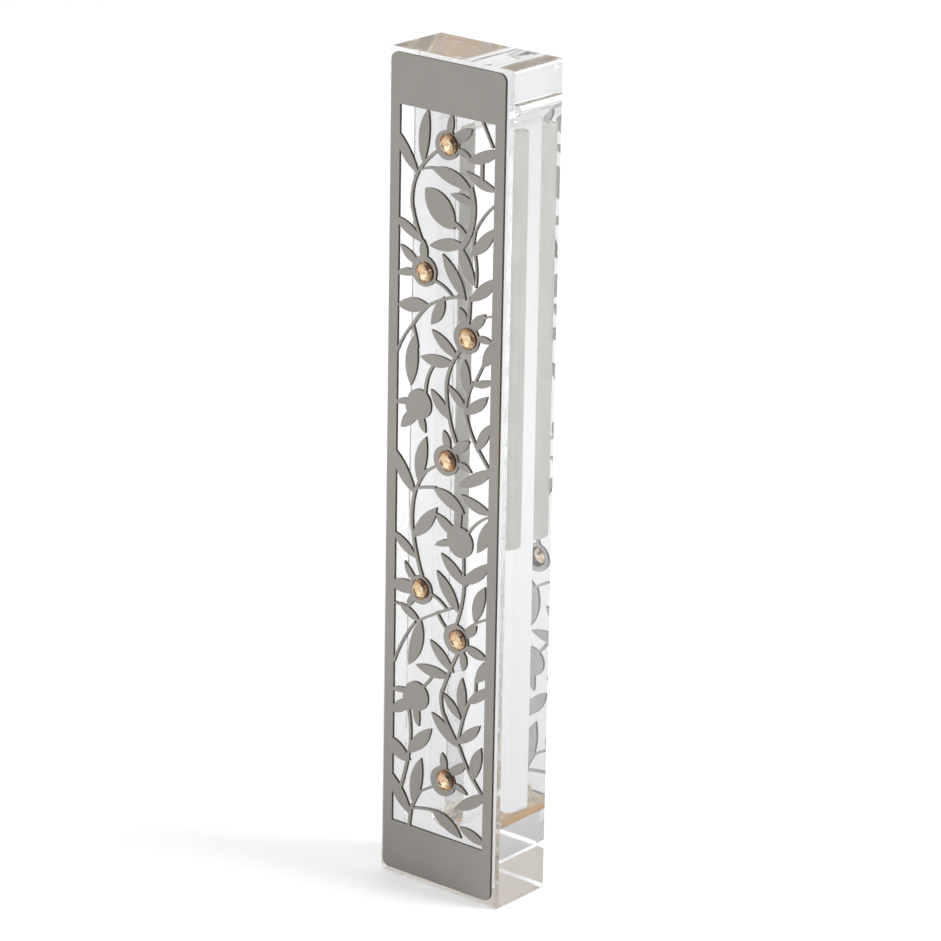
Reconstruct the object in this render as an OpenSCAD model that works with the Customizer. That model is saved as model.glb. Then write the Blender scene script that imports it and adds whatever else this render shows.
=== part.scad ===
// Clear acrylic mezuzah case with a laser-cut steel front plate,
// seven faceted stones set in the plate, and a rolled scroll in the back channel.
// Millimetres. X is the width, the front faces -Y, Z is up.
// The origin is under the middle of the whole object.

/* [Case] */
// width of the acrylic block
case_w = 26.8; // [26:0.1:30]
// depth of the acrylic block, front to back
case_d = 13.5; // [13:0.5:18]
// height of the acrylic block
case_h = 150; // [150:1:160]
// chamfer along every edge of the block
case_chamfer = 0.5; // [0.2:0.1:0.6]

/* [Scroll channel] */
// width of the channel milled into the back
channel_w = 8; // [7.6:0.1:9]
// acrylic left in front of the channel
channel_wall = 3.6; // [3:0.1:4]
// lower end of the channel above the foot
channel_low = 11; // [10:0.5:14]
// upper end of the channel above the foot
channel_top = 142; // [141:0.5:144]

/* [Plate] */
// thickness of the steel plate
plate_t = 0.5; // [0.4:0.1:1]
// outline width of the plate
plate_w = 24.6; // [24.2:0.1:25.4]
// lower edge of the plate above the foot
plate_low = 1.4; // [1:0.1:2]
// upper edge of the plate above the foot
plate_top = 149.4; // [148.5:0.1:149.4]
// corner radius of the plate
plate_r = 1.4; // [1:0.1:2.5]

/* [Stones] */
// diameter of a stone at its girdle
stone_d = 3.7; // [3.2:0.1:3.8]
// height of a stone, flat back to tip
stone_h = 1.7; // [1.4:0.1:2]
// radial gap between a stone and its seat
seat_gap = 0.05; // [0.02:0.01:0.1]
// number of crown facets
stone_facets = 8; // [6:1:12]

/* [Scroll] */
// outer diameter of the rolled parchment
scroll_d = 7.2; // [6:0.1:7.2]
// hole left in the middle of the roll
scroll_core = 1.6; // [1:0.1:2.4]
// length of the roll
scroll_h = 74; // [60:1:74]
// gap between the top of the roll and the channel's straight part
scroll_gap = 1; // [0.5:0.5:3]

/* [Hidden] */
$fn = 96;
// front of the block, so that the whole object is centred on Y
face_y = -(case_d - stone_h) / 2;
back_y = face_y + case_d;
channel_d = case_d - channel_wall;
channel_r = channel_w / 2;
// window cut through the plate behind the pattern
win_side = 10.3;
win_low = 10.6;
win_top = 140.6;
// the pattern's own zero, measured from the foot of the centre line
art_zero = [-12.8, -0.3];
stem_w = 0.55;
fine_w = 0.42;
// stone centres, in the pattern's own coordinates
seats = [[13.2, 135.8], [8.4, 112.7], [18, 103], [14, 80.5], [8.4, 55.8], [16.9, 48.6], [14.6, 21.8]];
scroll_y = back_y - scroll_d / 2 - 0.2;
scroll_z = channel_top - channel_r - scroll_gap - scroll_h;

steel = [0.62, 0.6, 0.57];
clear = [0.9, 0.94, 0.95, 0.4];
amber = [0.8, 0.58, 0.33];
parchment = [0.93, 0.89, 0.78];

// ---------- drawing helpers for the cut-out pattern ----------

function mid(a, b) = (a + b) / 2;
function left_of(a, b) = [a[1] - b[1], b[0] - a[0]] / norm(b - a);
function arc_r(chord, bulge) = (chord * chord / 4 + bulge * bulge) / (2 * bulge);

// a leaf between two points, with its own bulge on each side
module leaf(a, b, left, right) {
    chord = norm(b - a);
    r1 = arc_r(chord, left);
    r2 = arc_r(chord, right);
    intersection() {
        translate(mid(a, b) + left_of(a, b) * (left - r1)) circle(r1);
        translate(mid(a, b) - left_of(a, b) * (right - r2)) circle(r2);
    }
}

// a thin stem between two points, bowed to its left by bow
module stem(a, b, bow, w) {
    chord = norm(b - a);
    way = (b - a) / chord;
    if (abs(bow) < 0.04) {
        side = left_of(a, b) * w / 2;
        polygon([a + side, a - side, b - side, b + side]);
    } else {
        r = arc_r(chord, abs(bow));
        c = mid(a, b) + left_of(a, b) * (bow > 0 ? bow - r : bow + r);
        out = 1.3;
        intersection() {
            difference() {
                translate(c) circle(r + w / 2);
                translate(c) circle(r - w / 2);
            }
            polygon([c, c + (a - c) * out, c + (mid(a, b) - c) * out * 1.4, c + (b - c) * out]);
        }
    }
}

// the round body of a fruit
module fruit(at, r) {
    translate(at) circle(r);
}

// ---------- the pattern, from the top of the window down ----------

module vine_1() {
    leaf([7.7, 131.4], [8.6, 141.2], 1.5, 0.75);
    fruit([12.8, 135.6], 2.55);
    leaf([13, 136.6], [13.7, 141.3], 0.6, 0.75);
    leaf([13.6, 136.4], [18.1, 139.2], 0.9, 1.1);
    leaf([14.2, 135.2], [18, 134], 0.8, 0.35);
    stem([10.9, 134.4], [6.8, 130.3], -0.25, stem_w);
    leaf([17.2, 133.7], [23.8, 136.7], 0.7, 1.4);
    stem([20.2, 141], [22.6, 136.8], 0, fine_w);
    leaf([1.8, 136.5], [6.7, 129.5], 0.6, 1.4);
    stem([6.6, 130], [5.4, 123.2], -0.6, stem_w);
    stem([5.4, 123.6], [8, 117.4], -0.3, stem_w);
    stem([6.6, 130.1], [10.4, 131.2], 0.25, fine_w);
    leaf([9.6, 131.1], [18.1, 128.8], 1.6, 0.9);
    leaf([17, 131.9], [23.8, 129.6], 0.35, 1.3);
    stem([20.3, 133.9], [20.3, 131], 0, 0.6);
}

// a plain bud with two leaves
module bud_sprig() {
    stem([17.9, 129.2], [16, 118.4], 1.6, 1);
    leaf([14.6, 121.4], [8.2, 127.4], 2.3, 2.5);
    stem([17.4, 120.2], [13.6, 122.6], -0.5, 0.8);
    leaf([17, 119], [9.2, 117.6], 1, 1.2);
    leaf([19.2, 126.2], [13.6, 127.4], 0.6, 0.9);
}

module vine_2() {
    stem([23.4, 127.3], [19.1, 121.9], -0.4, fine_w);
    stem([19.2, 122.2], [18.8, 118.4], -0.15, fine_w);
    stem([18.8, 118.8], [19.4, 112.2], 0.4, fine_w);
    leaf([18.2, 117.4], [23.4, 123.3], 0.9, 1.3);
    leaf([15.9, 118.9], [19.4, 112.4], 0.7, 1.5);
    leaf([1.2, 121.4], [7.9, 117.8], 1, 0.8);
    fruit([8.2, 112.9], 2.7);
    leaf([8.4, 114.4], [7.9, 118.4], 1, 0.7);
    leaf([7.2, 113.8], [2.9, 116.6], 1, 0.6);
    leaf([6.9, 112], [2, 111.3], 0.3, 1.1);
    stem([10.3, 111.7], [14.3, 109.7], 0.35, fine_w);
    leaf([12.1, 116.7], [17.3, 109.6], 1.1, 1.15);
    leaf([23.8, 114.7], [18.1, 109.6], 1.3, 0.9);
    stem([18.3, 110.3], [17.9, 105.2], 0, stem_w);
    stem([16.6, 110], [8.8, 106.8], -0.45, stem_w);
    stem([9.2, 107.1], [5.7, 102.8], -0.2, stem_w);
    stem([5.9, 103.2], [2.4, 97.6], -0.3, fine_w);
    stem([5.7, 103.2], [6.9, 99], 0.15, 0.5);
    leaf([2.4, 105.9], [9.2, 107.1], 1.25, 1.3);
    leaf([12.5, 109.3], [9.9, 103.8], 1.35, 0.8);
    leaf([6.3, 101.3], [5.6, 92.1], 1.1, 1.6);
}

module vine_3() {
    fruit([7.5, 89.2], 2.65);
    fruit([6.7, 88.4], 2.2);
    leaf([6.6, 89.2], [1.9, 88.4], 0.35, 0.8);
    leaf([7.2, 88.4], [3.5, 84.2], 1.1, 1.1);
    leaf([8, 88], [9, 84.3], 0.3, 1.1);
    stem([8.8, 91], [10.6, 96.9], 0.55, stem_w);
    leaf([7.6, 97.8], [15, 98], 0.8, 1.35);
    leaf([10, 103], [15.9, 99], 0.9, 1.1);
    fruit([17.6, 103], 2.75);
    leaf([17.1, 104], [15.9, 108.1], 0.5, 1.3);
    leaf([18.4, 104.4], [21.6, 108], 1, 0.9);
    leaf([19.2, 103.4], [23.4, 103.2], 0.8, 0.45);
    stem([20.9, 107.2], [23.4, 108.1], 0, 0.35);
    leaf([24, 103.9], [21.2, 98.6], 1.2, 1);
    stem([21.5, 99.4], [19.6, 95.6], 0, 0.45);
    leaf([18.7, 95.2], [23.8, 96.6], 0.45, 0.9);
    leaf([17.3, 99.2], [18.2, 93.2], 0.8, 1.2);
    stem([19.2, 95.6], [17.6, 90.2], -0.3, 0.5);
    leaf([13.8, 94], [18, 90.4], 0.55, 0.95);
    leaf([17.3, 89.7], [22.4, 93.7], 0.7, 1.3);
    stem([16.5, 100.9], [13.4, 94], -0.6, 0.6);
    stem([13.4, 94.4], [15.7, 84], -0.7, 0.6);
    leaf([10, 92.4], [14.4, 87.8], 0.9, 1.1);
    stem([17.5, 90.3], [20.3, 84.1], -0.3, 0.5);
    stem([20.1, 84.4], [23.1, 80.7], 0, 0.5);
    leaf([20.2, 83.5], [23.2, 89.1], 1, 0.9);
}

module vine_4() {
    fruit([13.6, 80.4], 2.7);
    leaf([13.8, 81.8], [12.9, 85.7], 0.5, 1.1);
    leaf([14.6, 82], [18.7, 85], 0.8, 1);
    leaf([15.6, 80.5], [19.3, 79.4], 0.8, 0.35);
    stem([11.8, 79.2], [8.6, 76.9], -0.1, 0.5);
    stem([9.4, 77.8], [7, 73.8], -0.15, 0.5);
    leaf([9.1, 83.7], [7.6, 75], 0.9, 1.6);
    leaf([1.6, 80.4], [6.9, 72.8], 0.9, 1.5);
    stem([6.9, 73.9], [11.4, 75], 0.1, 0.45);
    leaf([10.9, 74.9], [17.8, 71.7], 1.4, 1);
    leaf([16.4, 76.5], [23.8, 81], 0.9, 1.35);
    leaf([17, 75.1], [23.8, 73], 0.6, 1.35);
    stem([23.5, 72.6], [18.4, 68], -0.55, 0.45);
    leaf([24.2, 72.5], [20.8, 65.4], 1.25, 1.2);
    fruit([17, 66.4], 2.75);
    fruit([16.4, 67], 2.3);
    leaf([16.6, 67.2], [11.4, 70.5], 1.1, 0.8);
    leaf([16.7, 68], [17.1, 72.3], 1.2, 0.25);
    leaf([15.6, 65.6], [11.4, 64.6], 0.25, 1);
    stem([17.7, 64.2], [17.9, 59.6], 0, 0.5);
    leaf([12.8, 63.5], [18.7, 58.8], 0.85, 1.25);
    leaf([17, 59], [23.5, 64.2], 0.7, 1.6);
    stem([18, 59.2], [16.1, 50.6], 0.4, stem_w);
    leaf([11.9, 60.1], [17, 53.5], 1.15, 1.15);
    leaf([22.6, 59.7], [20.5, 52.6], 0.9, 1.45);
    stem([23.5, 54], [18.5, 50.7], -0.35, 0.45);
}

module vine_5() {
    fruit([8.3, 55.6], 2.6);
    leaf([7.6, 56.8], [4.7, 60.1], 1, 0.25);
    leaf([8, 55.6], [1.2, 55.3], 1.25, 1.25);
    leaf([7.4, 54.4], [5.6, 51.7], 0.3, 1);
    stem([10.6, 55.4], [14.3, 53.4], 0.35, fine_w);
    stem([7, 74], [6.3, 66.2], -0.45, 0.6);
    stem([6.3, 66.6], [8.7, 57.9], -0.3, 0.6);
    leaf([11.7, 71.5], [6.4, 64.8], 1.35, 1.15);
    leaf([2, 65], [7.4, 61.2], 0.8, 1);
    leaf([3.6, 52.1], [8.3, 49.7], 0.75, 0.8);
    stem([2.2, 51.9], [4.5, 51.8], 0, 0.35);
    stem([8, 49.9], [15.6, 54.1], 0.1, 0.5);
    leaf([8.4, 50.3], [5.9, 41.1], 1.75, 0.95);
    stem([7.2, 49.4], [2.5, 40.9], -0.4, 0.45);
    fruit([16.4, 48.6], 2.7);
    leaf([17.6, 49.4], [20.9, 52.2], 0.4, 1.15);
    leaf([18, 47.8], [23.4, 46.5], 0.85, 0.95);
    leaf([17.7, 46.9], [18.1, 43.1], 1, 0.5);
    stem([14.3, 49.8], [12, 52.6], 0.15, 0.45);
    leaf([10.6, 47], [16, 42.2], 0.95, 1.05);
    stem([17, 46.4], [13.5, 38.2], -0.15, 0.6);
    leaf([7.5, 41.6], [15.2, 41.2], 0.85, 1.15);
    stem([11.3, 40.5], [9.2, 37.8], 0.1, 0.5);
    leaf([24.2, 47], [20.9, 41.7], 1.3, 1);
    stem([21, 42.6], [20.9, 39.6], 0, 0.45);
    leaf([23.9, 41.4], [19.2, 37.4], 1, 0.85);
}

module vine_6() {
    fruit([7.7, 35.7], 2.7);
    fruit([6.9, 35], 2.2);
    leaf([6.8, 36.1], [1.7, 35.6], 0.35, 0.7);
    leaf([7.2, 34.9], [1.8, 31.3], 1.05, 1.15);
    leaf([8, 34.4], [8.4, 30.2], 0.3, 1.15);
    stem([5.9, 33], [6.1, 24.2], 0.5, 0.5);
    leaf([11.2, 30.5], [5.9, 24.6], 1.35, 1.2);
    leaf([1.2, 26.7], [6.5, 23.2], 0.9, 1.8);
    stem([6.2, 25], [4.2, 17.2], 0.15, 0.6);
    stem([13.5, 38.6], [14.1, 33.4], -0.5, 0.6);
    stem([13.9, 33.9], [17.7, 28.5], -0.12, 0.55);
    stem([17.4, 29], [20.7, 23.4], -0.15, 0.5);
    stem([20.4, 23.9], [22.9, 21], 0, 0.5);
    leaf([13.8, 37.9], [17.9, 33.9], 0.8, 0.85);
    leaf([17.9, 41.8], [18.3, 34.6], 0.8, 1.25);
    stem([19.6, 37.9], [17.2, 29.6], -0.3, 0.5);
    leaf([22.1, 34], [17.1, 29.4], 1.1, 0.85);
    leaf([11.2, 33.6], [17.1, 28.7], 1.1, 1.1);
    leaf([22.4, 30], [20.5, 23.2], 0.95, 1.35);
}

module vine_7() {
    fruit([14, 21.4], 2.75);
    leaf([14.1, 23], [13.6, 26.7], 0.5, 1);
    leaf([15, 23], [19.1, 26], 0.8, 1);
    leaf([16, 21.5], [19.5, 20.3], 0.75, 0.35);
    stem([12.2, 20], [8, 17.5], -0.05, 0.45);
    stem([9, 18.3], [7, 14.5], -0.1, 0.5);
    leaf([9, 24.4], [7.4, 15], 1, 1.6);
    leaf([1.5, 20.3], [7, 12.9], 0.9, 1.5);
    stem([7, 15], [6.4, 10.4], -0.1, 0.6);
    stem([6.8, 14.3], [12.2, 15.3], 0.15, 0.42);
    leaf([11.6, 15.4], [18.4, 11.8], 1.3, 1);
    leaf([16.7, 17], [23.8, 21.6], 0.9, 1.35);
    leaf([17.8, 13.9], [23.9, 12], 0.9, 0.95);
}

module pattern() {
    vine_1();
    bud_sprig();
    vine_2();
    vine_3();
    vine_4();
    vine_5();
    vine_6();
    vine_7();
}

module plate_outline() {
    low = plate_low + plate_r;
    tall = plate_top - plate_low - 2 * plate_r;
    wide = plate_w - 2 * plate_r;
    translate([-wide / 2, plate_low]) square([wide, plate_top - plate_low]);
    translate([-plate_w / 2, low]) square([plate_w, tall]);
    for (sx = [-1, 1], z = [low, low + tall])
        translate([sx * wide / 2, z]) circle(plate_r);
}

// ---------- the pieces ----------

// acrylic block, chamfered, with the scroll channel open at the back
module case_body() {
    cut = case_chamfer * sqrt(2);
    color(clear) difference() {
        translate([-case_w / 2, face_y, 0]) cube([case_w, case_d, case_h]);
        for (sx = [-1, 1], y = [face_y, back_y])
            translate([sx * case_w / 2, y, case_h / 2]) rotate([0, 0, 45])
                cube([cut, cut, case_h + 2], center = true);
        for (sx = [-1, 1], z = [0, case_h])
            translate([sx * case_w / 2, 0, z]) rotate([0, 45, 0])
                cube([cut, 2 * case_d + 4, cut], center = true);
        for (y = [face_y, back_y], z = [0, case_h])
            translate([0, y, z]) rotate([45, 0, 0])
                cube([case_w + 2, cut, cut], center = true);
        translate([-channel_r, face_y + channel_wall, channel_low + channel_r])
            cube([channel_w, channel_d + 2, channel_top - channel_low - channel_w]);
        for (z = [channel_low + channel_r, channel_top - channel_r])
            translate([0, back_y + 2, z]) rotate([90, 0, 0])
                cylinder(r = channel_r, h = channel_d + 2);
    }
}

// steel plate with the cut-out vine and the stone seats
module front_plate() {
    color(steel) translate([0, face_y, 0]) rotate([90, 0, 0]) linear_extrude(plate_t)
        difference() {
            union() {
                difference() {
                    plate_outline();
                    translate([-win_side, win_low]) square([2 * win_side, win_top - win_low]);
                }
                translate(art_zero) pattern();
            }
            for (s = seats) translate(art_zero + s) circle(stone_d / 2 + seat_gap);
        }
}

// one flat-backed stone: round girdle, sloping crown facets, small table
module stone(n) {
    at = art_zero + seats[n];
    girdle = 0.7;
    lean = atan((stone_h - girdle) / (stone_d * 0.34));
    color(amber) translate([at[0], face_y, at[1]]) rotate([90, 0, 0]) difference() {
        cylinder(d = stone_d, h = stone_h);
        for (k = [0 : stone_facets - 1])
            rotate([0, 0, (k + 0.5) * 360 / stone_facets])
                translate([stone_d / 2 * cos(180 / stone_facets), 0, girdle])
                    rotate([0, lean - 90, 0]) translate([0, -stone_d, -stone_d])
                        cube([stone_d, 2 * stone_d, 3 * stone_d]);
    }
}

module stone_1() { stone(0); }
module stone_2() { stone(1); }
module stone_3() { stone(2); }
module stone_4() { stone(3); }
module stone_5() { stone(4); }
module stone_6() { stone(5); }
module stone_7() { stone(6); }

// rolled parchment, standing in the upper part of the channel
module scroll() {
    color(parchment) translate([0, scroll_y, scroll_z]) difference() {
        cylinder(d = scroll_d, h = scroll_h);
        translate([0, 0, -1]) cylinder(d = scroll_core, h = scroll_h + 2);
    }
}

case_body();
front_plate();
stone_1();
stone_2();
stone_3();
stone_4();
stone_5();
stone_6();
stone_7();
scroll();
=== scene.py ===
import math

import bmesh
import bpy
from mathutils import Matrix, Vector


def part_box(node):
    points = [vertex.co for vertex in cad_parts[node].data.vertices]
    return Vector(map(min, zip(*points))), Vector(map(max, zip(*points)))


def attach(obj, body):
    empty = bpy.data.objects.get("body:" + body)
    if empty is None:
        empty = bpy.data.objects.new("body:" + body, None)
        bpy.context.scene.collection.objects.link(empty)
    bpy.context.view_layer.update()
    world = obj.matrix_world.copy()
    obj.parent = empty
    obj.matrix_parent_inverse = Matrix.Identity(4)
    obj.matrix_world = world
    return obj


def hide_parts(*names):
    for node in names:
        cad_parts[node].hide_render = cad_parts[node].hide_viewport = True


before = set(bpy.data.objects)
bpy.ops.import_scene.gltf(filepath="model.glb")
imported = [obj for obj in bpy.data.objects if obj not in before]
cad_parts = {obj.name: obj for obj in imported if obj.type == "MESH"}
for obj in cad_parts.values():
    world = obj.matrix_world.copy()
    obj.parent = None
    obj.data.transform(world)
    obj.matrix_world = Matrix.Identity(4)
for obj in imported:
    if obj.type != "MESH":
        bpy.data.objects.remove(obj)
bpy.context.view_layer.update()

MM = 0.001
scene = bpy.context.scene

case_lo, case_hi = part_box("case_body")
scroll_lo, scroll_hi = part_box("scroll")
case_mid = (case_lo + case_hi) / 2

# the air between the block and what touches it, so that light stays in the acrylic as in life
FRONT_GAP = 0.05 * MM
FOOT_GAP = 0.04 * MM
# the tan card under the foot, clear of the foot's chamfers
CARD_T = 0.02 * MM
CARD_INSET = 0.55 * MM
# the card's glow is painted light, not a lamp
CARD_GLOW = 0.9
# how far from the case the floor paper starts and stops getting lighter
PAPER_NEAR, PAPER_FAR = 0.05, 0.24
# the floor's emission to the camera's own rays
CAMERA_WHITE = 0.13
STUDIO_LIGHT = 0.76


# ---------- mesh and node helpers ----------

def new_object(name, mesh, materials=()):
    obj = bpy.data.objects.new(name, mesh)
    scene.collection.objects.link(obj)
    for material in materials:
        mesh.materials.append(material)
    return obj


def from_bmesh(name, bm, materials=(), smooth_angle=None):
    mesh = bpy.data.meshes.new(name)
    bmesh.ops.recalc_face_normals(bm, faces=bm.faces)
    bm.to_mesh(mesh)
    bm.free()
    if smooth_angle is not None:
        mesh.shade_smooth()
        mesh.set_sharp_from_angle(angle=math.radians(smooth_angle))
    return new_object(name, mesh, materials)


class Nodes:
    """A material with short calls for adding and joining nodes."""

    def __init__(self, name, **settings):
        self.material = bpy.data.materials.new(name)
        self.material.use_nodes = True
        self.tree = self.material.node_tree
        self.shader = self.tree.nodes["Principled BSDF"]
        for key, value in settings.items():
            self.shader.inputs[key.replace("_", " ")].default_value = value
        self.coords = None

    def add(self, kind, **values):
        node = self.tree.nodes.new(kind)
        for key, value in values.items():
            setattr(node, key, value)
        return node

    def link(self, a, b):
        self.tree.links.new(a, b)

    def mapped(self, scale=(1, 1, 1)):
        if self.coords is None:
            self.coords = self.add("ShaderNodeTexCoord")
        mapping = self.add("ShaderNodeMapping")
        mapping.inputs["Scale"].default_value = scale
        self.link(self.coords.outputs["Object"], mapping.inputs["Vector"])
        return mapping.outputs["Vector"]

    def noise(self, size, stretch=(1, 1, 1), detail=3.0, rough=0.5):
        """Noise whose grain is about size metres, stretched along the axes."""
        node = self.add("ShaderNodeTexNoise")
        node.inputs["Scale"].default_value = 1 / size
        node.inputs["Detail"].default_value = detail
        node.inputs["Roughness"].default_value = rough
        self.link(self.mapped(stretch), node.inputs["Vector"])
        return node.outputs["Fac"]

    def ramp(self, source, stops):
        node = self.add("ShaderNodeValToRGB")
        ramp = node.color_ramp
        while len(ramp.elements) < len(stops):
            ramp.elements.new(0.5)
        for element, (place, colour) in zip(ramp.elements, stops):
            element.position = place
            element.color = (*colour, 1)
        self.link(source, node.inputs["Fac"])
        return node.outputs["Color"]

    def range(self, source, low, high, a, b):
        """Takes low to high onto a to b, and holds the ends."""
        node = self.add("ShaderNodeMapRange")
        for key, value in (("From Min", low), ("From Max", high), ("To Min", a), ("To Max", b)):
            node.inputs[key].default_value = value
        self.link(source, node.inputs["Value"])
        return node.outputs["Result"]

    def mix(self, factor, a, b):
        node = self.add("ShaderNodeMix", data_type="RGBA")
        self.link(factor, node.inputs["Factor"])
        for value, key in ((a, 6), (b, 7)):
            if isinstance(value, tuple):
                node.inputs[key].default_value = (*value, 1)
            else:
                self.link(value, node.inputs[key])
        return node.outputs[2]

    def bump(self, height, strength, distance):
        node = self.add("ShaderNodeBump")
        node.inputs["Strength"].default_value = strength
        node.inputs["Distance"].default_value = distance
        self.link(height, node.inputs["Height"])
        self.link(node.outputs["Normal"], self.shader.inputs["Normal"])


# ---------- materials ----------

IOR_ACRYLIC, IOR_STONE = 1.49, 1.56
CLEAR = (0.985, 0.992, 0.992), (1.0, 1.0, 1.0)
# beige painted on the foot as light from the tan card under it
PAINTED_TAN_CAST = (0.74, 0.54, 0.30), (0.82, 0.63, 0.38)


def acrylic(name, roughness, grain, stretch, tints=CLEAR, clear=1.0):
    """Acrylic whose colour and finish drift very slightly over the grain's size."""
    m = Nodes(name, Transmission_Weight=clear, IOR=IOR_ACRYLIC, Roughness=0.0)
    drift = m.noise(grain, stretch)
    m.link(m.mix(drift, *tints), m.shader.inputs["Base Color"])
    if roughness:
        finish = m.range(drift, 0.3, 0.7, 0.85 * roughness, 1.15 * roughness)
        m.link(finish, m.shader.inputs["Roughness"])
    return m.material


polished = acrylic("acrylic_polished", 0.0, 9 * MM, (1, 1, 0.3))
# clear like the faces, because any roughness here hides the view down to the foot
milled = acrylic("acrylic_milled", 0.0, 0.8 * MM, (1, 1, 0.03))
chamfered = acrylic("acrylic_chamfer", 0.1, 3 * MM, (1, 1, 1))
# the foot isn't polished: partly frosted, with a beige cast that is painted light, the tan of the
# surface it stands on
sawn = acrylic("acrylic_sawn_foot", 0.14, 1.5 * MM, (0.2, 1, 1), tints=PAINTED_TAN_CAST, clear=0.45)


def plate_steel():
    """Satin steel in front, darker laser-cut walls, and a pale film of glue behind."""
    m = Nodes("plate_steel")
    cloud = m.noise(14 * MM, detail=2.0)
    fine = m.noise(0.35 * MM, (1, 1, 0.25), detail=4.0)
    face = m.mix(m.range(cloud, 0.3, 0.7, 0, 1), (0.385, 0.361, 0.332), (0.417, 0.392, 0.361))
    parts = m.add("ShaderNodeSeparateXYZ")
    m.link(m.coords.outputs["Normal"], parts.inputs[0])
    side = m.add("ShaderNodeMath", operation="ABSOLUTE")
    m.link(parts.outputs["Y"], side.inputs[0])
    cut = m.range(side.outputs[0], 0.3, 0.8, 1, 0)
    striae = m.noise(0.12 * MM, (1, 0.05, 1), detail=2.0)
    wall = m.mix(striae, (0.060, 0.052, 0.045), (0.120, 0.106, 0.093))
    behind = m.range(parts.outputs["Y"], 0.6, 0.9, 0, 1)
    glue = m.mix(cloud, (0.80, 0.79, 0.77), (0.88, 0.87, 0.85))
    m.link(m.mix(behind, m.mix(cut, face, wall), glue), m.shader.inputs["Base Color"])
    m.link(m.range(behind, 0, 1, 1, 0), m.shader.inputs["Metallic"])
    m.link(m.range(fine, 0.3, 0.7, 0.33, 0.41), m.shader.inputs["Roughness"])
    m.bump(fine, 0.12, 0.01 * MM)
    return m.material


# the foiled back facets, from pale champagne to dark brown, the brown being painted shade and the
# pale partly painted highlight: name, light and dark of its patches
FOILS = (
    ("pale", (1.0, 0.95, 0.86), (0.93, 0.80, 0.62)),
    ("gold", (0.92, 0.68, 0.42), (0.74, 0.44, 0.20)),
    ("brown_shade", (0.26, 0.13, 0.06), (0.13, 0.06, 0.03)),
)


def stone_materials():
    """The glass, the rim of painted shade and the three foils, in the order of the indices below.
    """
    glass = Nodes("stone_glass", Transmission_Weight=1.0, IOR=IOR_STONE, Roughness=0.0)
    tint = glass.noise(1.6 * MM, detail=1.0)
    glass.link(glass.mix(tint, (1.0, 0.90, 0.76), (1.0, 0.84, 0.66)),
               glass.shader.inputs["Base Color"])
    # dark brown painted shade for the girdle band and the cup in the seat
    rim_shade = Nodes("stone_rim", Roughness=0.3)
    rim_shade.link(rim_shade.mix(rim_shade.noise(0.4 * MM), (0.045, 0.020, 0.008), (0.12, 0.055, 0.022)),
             rim_shade.shader.inputs["Base Color"])
    foils = []
    for name, light, dark in FOILS:
        foil = Nodes("stone_foil_" + name, Metallic=1.0, Roughness=0.12)
        patch = foil.noise(0.5 * MM, detail=2.0)
        foil.link(foil.mix(patch, light, dark), foil.shader.inputs["Base Color"])
        foils.append(foil.material)
    return glass.material, rim_shade.material, *foils


def parchment():
    """Off-white skin, clouded and finely fibrous."""
    m = Nodes("parchment", Roughness=0.72, Sheen_Weight=0.1)
    cloud = m.noise(7 * MM, detail=4.0)
    fibre = m.noise(0.5 * MM, (1, 1, 0.25), detail=5.0, rough=0.65)
    base = m.ramp(cloud, (
        (0.3, (0.89, 0.86, 0.79)),
        (0.5, (0.93, 0.91, 0.86)),
        (0.7, (0.95, 0.94, 0.91)),
    ))
    fibred = m.mix(m.range(fibre, 0.35, 0.75, 0, 0.35), base, (0.84, 0.80, 0.71))
    m.link(fibred, m.shader.inputs["Base Color"])
    m.bump(fibre, 0.35, 0.04 * MM)
    return m.material


# ---------- the acrylic block ----------

POLISHED, MILLED, CHAMFERED, SAWN = 0, 1, 2, 3
# chamfers lie within EDGE of the outside; the channel's walls lie between these depths
EDGE = 2 * MM
CHANNEL_FROM, CHANNEL_TO = case_lo.y + MM, case_hi.y - 0.1 * MM
ON_FACE = 0.001 * MM


def build_block():
    """The CAD block's own shape, drawn back a hair from the plate and the table, with polished
    faces, a milled channel, chamfers and a sawn foot."""
    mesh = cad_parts["case_body"].data.copy()
    mesh.materials.clear()
    bm = bmesh.new()
    bm.from_mesh(mesh)
    bmesh.ops.remove_doubles(bm, verts=bm.verts, dist=0.002 * MM)
    bmesh.ops.dissolve_limit(bm, angle_limit=math.radians(0.5), verts=bm.verts, edges=bm.edges)
    inner = 0.5 * (case_hi.x - case_lo.x) - EDGE
    for face in bm.faces:
        n = face.normal
        c = face.calc_center_median()
        sloping = sorted(abs(v) for v in n)[1] > 0.3
        if sloping and (abs(c.x) > inner or min(c.z - case_lo.z, case_hi.z - c.z) < EDGE):
            face.material_index = CHAMFERED
        elif (abs(c.x) < inner and EDGE < c.z < case_hi.z - EDGE
              and CHANNEL_FROM < c.y < CHANNEL_TO):
            face.material_index = MILLED
        elif n.z < -0.9:
            face.material_index = SAWN
        else:
            face.material_index = POLISHED
    for vert in bm.verts:
        if vert.co.y < case_lo.y + ON_FACE:
            vert.co.y += FRONT_GAP
        if vert.co.z < case_lo.z + ON_FACE:
            vert.co.z += FOOT_GAP
    bm.to_mesh(mesh)
    bm.free()
    mesh.shade_smooth()
    mesh.set_sharp_from_angle(angle=math.radians(30))
    block = new_object("acrylic_block", mesh, (polished, milled, chamfered, sawn))
    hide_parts("case_body")
    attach(block, "case")


# ---------- the stones ----------

# the rim and the brown foil are painted shade; the pale foil is partly painted highlight
GLASS, RIM_SHADE, PALE_AND_LIT, GOLD, BROWN_SHADE = 0, 1, 2, 3, 4
SIDES = 8
# each ring of points, as parts of the stone's radius and height
TABLE, MIDDLE, UPPER, LOWER, CULET = (0.34, 1), (0.72, 0.74), (1, 0.45), (1, 0.37), (0.16, 0.06)
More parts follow.
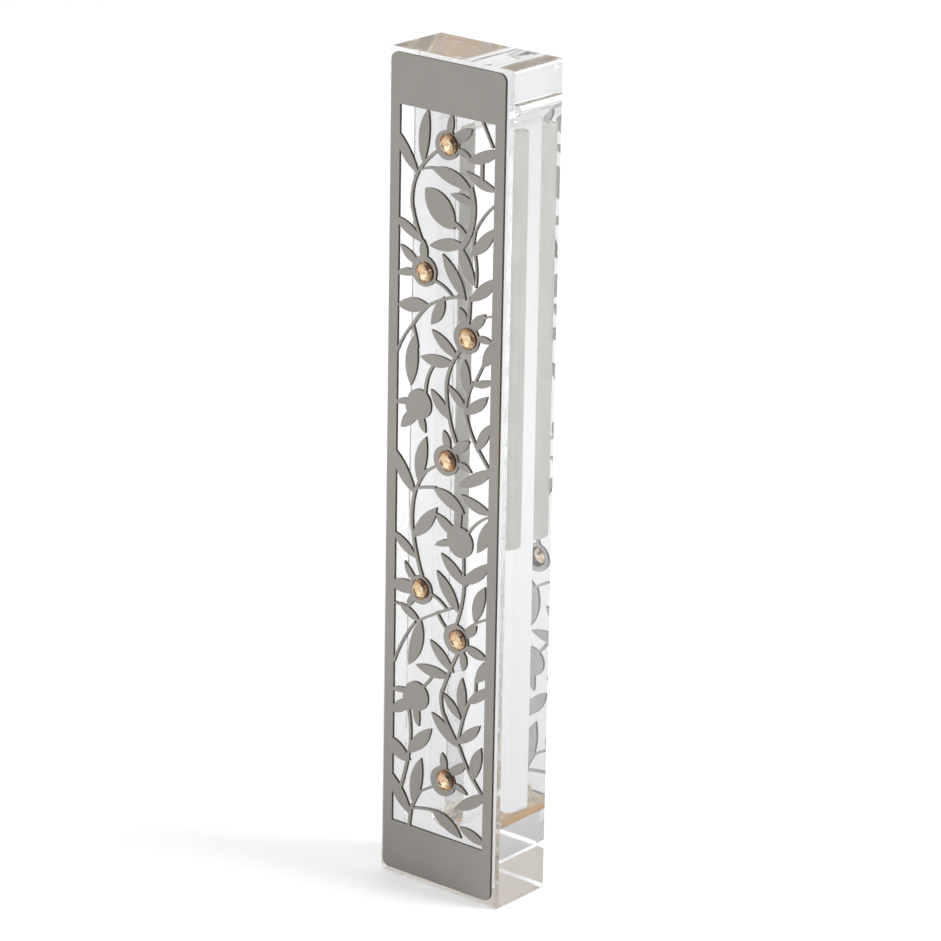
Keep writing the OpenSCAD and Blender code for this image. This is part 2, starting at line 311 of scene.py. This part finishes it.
# a dark brown cup of painted shade closes the seat round the pointed back
SHADE_CUP = ((1.0, 0.355), (0.94, 0.355), (0.94, 0.01), (1.0, 0.01))
# the back facets towards this direction, the upper right, are painted dark as shade, and those away
# from it pale as painted highlight; the limits are cosines of the angle from it
SHADED_SIDE = math.radians(52)
KITE_SHADE, SIDE_SHADE, KITE_LIT = 0.94, 0.97, -0.2
# how much of its seat a stone fills
STONE_FIT = 0.995


def ring(bm, centre, radius, height, count, turn):
    """Points on a circle that stands height in front of the block's face."""
    points = []
    for k in range(count):
        a = turn + 2 * math.pi * k / count
        points.append(bm.verts.new((
            centre[0] + radius * math.cos(a), case_lo.y - height, centre[1] + radius * math.sin(a),
        )))
    return points


def build_stone(node, materials, turn):
    """A brilliant-cut stone: table, star, kite and girdle facets in front, a foiled back behind,
    with painted shade and highlight on its back, girdle and cup.
    """
    lo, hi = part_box(node)
    centre = ((lo.x + hi.x) / 2, (lo.z + hi.z) / 2)
    radius = (hi.x - lo.x) / 2 * STONE_FIT
    height = hi.y - lo.y
    half_side = math.pi / SIDES
    girdle = 2 * SIDES
    bm = bmesh.new()

    def points(part, count, angle):
        return ring(bm, centre, radius * part[0], height * part[1], count, angle)

    table = points(TABLE, SIDES, turn)
    middle = points(MIDDLE, SIDES, turn + half_side)
    upper = points(UPPER, girdle, turn)
    lower = points(LOWER, girdle, turn)
    culet = points(CULET, SIDES, turn + half_side)
    cup = [points(part, girdle, turn) for part in SHADE_CUP]
    faces = [(GLASS, table), (PALE_AND_LIT, list(reversed(culet)))]
    for i in range(SIDES):
        j = (i + 1) % SIDES
        a, b, c = 2 * i, 2 * i + 1, (2 * i + 2) % girdle
        faces += [
            (GLASS, (table[i], table[j], middle[i])),
            (GLASS, (table[i], middle[i], upper[a])),
            (GLASS, (table[i], upper[a], middle[i - 1])),
            (GLASS, (middle[i], upper[b], upper[a])),
            (GLASS, (middle[i], upper[c], upper[b])),
        ]
        # painted shade and highlight: back facets towards the upper right get the brown foil, those
        # away from it the pale
        toward_shade = math.cos(turn + (i + 0.5) * 2 * half_side - SHADED_SIDE)
        kite = BROWN_SHADE if toward_shade > KITE_SHADE else PALE_AND_LIT if toward_shade < KITE_LIT or i % 3 == 1 else GOLD
        side = BROWN_SHADE if toward_shade > SIDE_SHADE else GOLD if i % 2 else PALE_AND_LIT
        faces += [
            (side, (culet[i], lower[a], lower[b])),
            (kite, (culet[i], lower[b], lower[c])),
            (side, (culet[i], lower[c], culet[j])),
        ]
    for k in range(girdle):
        n = (k + 1) % girdle
        faces.append((RIM_SHADE, (upper[k], upper[n], lower[n], lower[k])))
        for one, two in zip(cup, cup[1:] + cup[:1]):
            faces.append((RIM_SHADE, (one[k], one[n], two[n], two[k])))
    for index, verts in faces:
        bm.faces.new(verts).material_index = index
    stone = from_bmesh("gem_" + node[-1], bm, materials)
    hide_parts(node)
    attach(stone, "case")


# ---------- the scroll ----------

TURNS, PER_TURN = 9, 72
LEAF = 0.22 * MM
CORE_R = 0.8 * MM
ROLL_START = math.radians(150)
ROLL_END = 0.3 * MM
ROLL_FIT = 0.985
# how far the ends of the turns slip past each other, and how far the outside ripples
SLIP_LONG, SLIP_SHORT, RIPPLE = 0.16 * MM, 0.08 * MM, 0.03 * MM


def build_scroll(material):
    """A long sheet wound into a roll: a spiral strip whose outer edge lies on the turn below."""
    centre_x = (scroll_lo.x + scroll_hi.x) / 2
    centre_y = (scroll_lo.y + scroll_hi.y) / 2
    outer = (scroll_hi.x - scroll_lo.x) / 2 * ROLL_FIT
    low, high = scroll_lo.z + ROLL_END, scroll_hi.z - ROLL_END
    pitch = (outer - CORE_R - LEAF) / TURNS
    count = TURNS * PER_TURN
    bm = bmesh.new()
    rows = []
    for k in range(count + 1):
        a = 2 * math.pi * k / PER_TURN + ROLL_START
        r = CORE_R + pitch * k / PER_TURN
        out = r + LEAF
        slip = SLIP_LONG * math.sin(0.7 * a / math.pi) + SLIP_SHORT * math.sin(2.3 * a)
        wave = RIPPLE * math.sin(5 * a)
        corners = []
        for radius, z in ((r, low + slip), (out, low + slip), (out, high + slip), (r, high + slip)):
            rr = min(radius + wave * (k / count), outer)
            corners.append(bm.verts.new((
                centre_x + rr * math.cos(a), centre_y + rr * math.sin(a), z,
            )))
        rows.append(corners)
    for a, b in zip(rows, rows[1:]):
        for i in range(4):
            j = (i + 1) % 4
            bm.faces.new((a[i], a[j], b[j], b[i]))
    bm.faces.new(rows[0])
    bm.faces.new(list(reversed(rows[-1])))
    roll = from_bmesh("parchment_roll", bm, (material,), smooth_angle=40)
    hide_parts("scroll")
    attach(roll, "parchment")


# ---------- build ----------

build_block()

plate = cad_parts["front_plate"]
plate.data.materials.clear()
plate.data.materials.append(plate_steel())

STONES = 7
STONE_TURN = 17
gem_materials = stone_materials()
for number in range(1, STONES + 1):
    build_stone(f"stone_{number}", gem_materials, math.radians(STONE_TURN * number))

build_scroll(parchment())


# ---------- stage: floor, the tan surface under the foot, light, camera ----------

def flat_box(name, lo, hi, material):
    """A plain box of the stage, which isn't part of the object."""
    bm = bmesh.new()
    bmesh.ops.create_cube(bm, size=1)
    lo, hi = Vector(lo), Vector(hi)
    for vert in bm.verts:
        vert.co = Vector(((lo[i] + hi[i]) / 2 + vert.co[i] * (hi[i] - lo[i])) for i in range(3))
    from_bmesh(name, bm, (material,))


def floor_material():
    """Grey studio paper, lighter further off. The camera itself sees it as retouched white."""
    m = Nodes("floor_white", Roughness=0.7)
    grain = m.noise(0.4)
    near = m.mix(grain, (0.70, 0.70, 0.705), (0.72, 0.72, 0.725))
    far = m.mix(grain, (0.85, 0.85, 0.855), (0.87, 0.87, 0.875))
    reach = m.add("ShaderNodeVectorMath", operation="LENGTH")
    m.link(m.mapped(), reach.inputs[0])
    paper = m.mix(m.range(reach.outputs["Value"], PAPER_NEAR, PAPER_FAR, 0, 1), near, far)
    direct = m.add("ShaderNodeLightPath").outputs["Is Camera Ray"]
    m.link(m.mix(direct, paper, (0.97, 0.97, 0.97)), m.shader.inputs["Base Color"])
    m.shader.inputs["Emission Color"].default_value = (1, 1, 1, 1)
    m.link(m.range(direct, 0, 1, 0, CAMERA_WHITE), m.shader.inputs["Emission Strength"])
    return m.material


def card_material():
    """Tan card under the foot that glows as painted light, bright enough to be seen up through the
    whole block.
    """
    m = Nodes("card_tan_glowing", Roughness=0.8)
    grain = m.noise(6 * MM, (0.3, 1, 1))
    m.link(m.mix(grain, (0.26, 0.17, 0.08), (0.30, 0.20, 0.10)), m.shader.inputs["Base Color"])
    m.link(m.mix(grain, (0.58, 0.38, 0.17), (0.66, 0.44, 0.21)), m.shader.inputs["Emission Color"])
    m.shader.inputs["Emission Strength"].default_value = CARD_GLOW
    return m.material


FLOOR_HALF, FLOOR_T = 3, 0.002
flat_box("floor", (-FLOOR_HALF, -FLOOR_HALF, case_lo.z - FLOOR_T),
         (FLOOR_HALF, FLOOR_HALF, case_lo.z), floor_material())
flat_box("under_foot", (case_lo.x + CARD_INSET, case_lo.y + CARD_INSET, case_lo.z),
         (case_hi.x - CARD_INSET, case_hi.y - CARD_INSET, case_lo.z + CARD_T), card_material())


def area_light(name, place, size, energy):
    """A square soft light aimed at the middle of the case."""
    light = bpy.data.lights.new(name, "AREA")
    light.size = size
    light.energy = energy
    obj = bpy.data.objects.new(name, light)
    scene.collection.objects.link(obj)
    obj.location = place
    obj.rotation_euler = (case_mid - Vector(place)).to_track_quat("-Z", "Y").to_euler()


area_light("key", place=(0.55, 0.25, 0.75), size=0.35, energy=4.2)
area_light("fill", place=(-0.2, -0.9, 0.9), size=0.9, energy=1.8)

world = bpy.data.worlds.new("studio")
scene.world = world
world.use_nodes = True
background = world.node_tree.nodes["Background"]
background.inputs["Color"].default_value = (1, 1, 1, 1)
background.inputs["Strength"].default_value = STUDIO_LIGHT

# the camera, seen from the middle of the case
AZIMUTH, ELEVATION, ROLL = math.radians(39.227), math.radians(19.079), math.radians(1.017)
SHIFT_RIGHT, SHIFT_UP, DISTANCE = 0.302 * MM, 1.25 * MM, 754.735 * MM
SENSOR, LENS = 36, 168.23
back = Vector((math.sin(AZIMUTH) * math.cos(ELEVATION), -math.cos(AZIMUTH) * math.cos(ELEVATION),
               math.sin(ELEVATION)))
level_right = (-back).cross(Vector((0, 0, 1))).normalized()
level_up = level_right.cross(-back)
right = level_right * math.cos(ROLL) + level_up * math.sin(ROLL)
up = level_up * math.cos(ROLL) - level_right * math.sin(ROLL)
eye = case_mid + right * SHIFT_RIGHT + up * SHIFT_UP + back * DISTANCE
camera_data = bpy.data.cameras.new("camera")
camera_data.sensor_width = SENSOR
camera_data.lens = LENS
camera_data.clip_start, camera_data.clip_end = 0.01, 20
camera = bpy.data.objects.new("camera", camera_data)
scene.collection.objects.link(camera)
camera.matrix_world = Matrix.Translation(eye) @ Matrix((right, up, back)).transposed().to_4x4()
scene.camera = camera

# clear acrylic needs long light paths
scene.cycles.max_bounces = 64
scene.cycles.transmission_bounces = 64
scene.cycles.glossy_bounces = 32
scene.cycles.transparent_max_bounces = 16
scene.view_settings.view_transform = "Standard"
